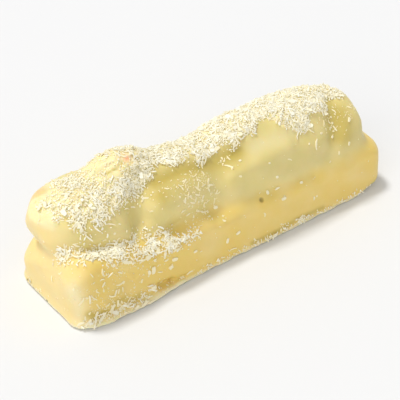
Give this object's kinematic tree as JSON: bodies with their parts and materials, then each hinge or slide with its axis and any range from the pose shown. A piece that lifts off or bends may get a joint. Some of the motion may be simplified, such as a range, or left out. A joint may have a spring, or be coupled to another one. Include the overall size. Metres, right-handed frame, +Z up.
{
  "type": "pomegranate coconut bar",
  "caption": "Long hand-made sweet bar: a slab with a lumpy roll on top under one skin of white coating, sprinkled with shredded coconut.",
  "frame": {"origin": "centre of the bar's bounding box at the height of its flat underside", "axes": "+X along the bar towards its lower right end, -Y towards its long front side with the ledge, +Z up"},
  "size_m": [0.1154, 0.0356, 0.0379],
  "materials": {
    "white_coating": "satin white-chocolate style coating, ivory to pale yellow, softly uneven from hand dipping",
    "coconut": "dry matt shreds of desiccated coconut, creamy white"
  },
  "bodies": {
    "root": {"coconut_bar": "white_coating"}
  },
  "joints": []
}
